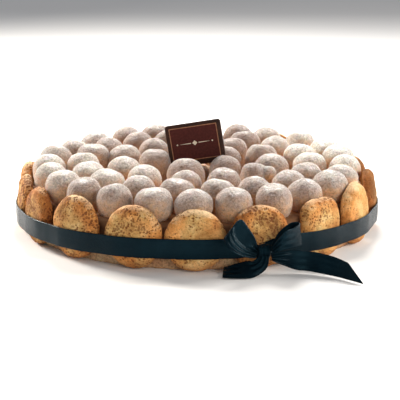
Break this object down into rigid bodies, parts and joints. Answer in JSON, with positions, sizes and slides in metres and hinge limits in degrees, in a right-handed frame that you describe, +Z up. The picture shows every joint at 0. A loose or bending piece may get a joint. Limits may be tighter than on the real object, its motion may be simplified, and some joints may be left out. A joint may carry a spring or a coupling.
{
  "type": "tiramisu cake",
  "caption": "Round tiramisu cake on a sponge base, with biscuits standing round its side, a satin ribbon with a bow, a top of dusted cream puffs and a small chocolate plaque.",
  "frame": {"origin": "middle of the cake's flat bottom, on the surface that it stands on", "axes": "+Z up; the bow and the front of the plaque face -Y, +X is to the right as seen from the front"},
  "size_m": [0.3037, 0.3285, 0.0857],
  "materials": {
    "sponge": "matt, open crumb",
    "cream": "matt, dusted with sugar",
    "biscuit": "matt, pitted",
    "satin": "satin",
    "chocolate": "satin"
  },
  "bodies": {
    "root": {"sponge_base": "sponge", "cream_puffs": "cream", "biscuit_01": "biscuit", "biscuit_02": "biscuit", "biscuit_03": "biscuit", "biscuit_04": "biscuit", "biscuit_05": "biscuit", "biscuit_06": "biscuit", "biscuit_07": "biscuit", "biscuit_08": "biscuit", "biscuit_09": "biscuit", "biscuit_10": "biscuit", "biscuit_11": "biscuit", "biscuit_12": "biscuit", "biscuit_13": "biscuit", "biscuit_14": "biscuit", "biscuit_15": "biscuit", "biscuit_16": "biscuit", "biscuit_17": "biscuit", "biscuit_18": "biscuit", "ribbon_band": "satin", "bow_knot": "satin", "bow_loop_left": "satin", "bow_loop_right": "satin", "bow_tail_left": "satin", "bow_tail_right": "satin", "chocolate_plaque": "chocolate"}
  },
  "joints": []
}
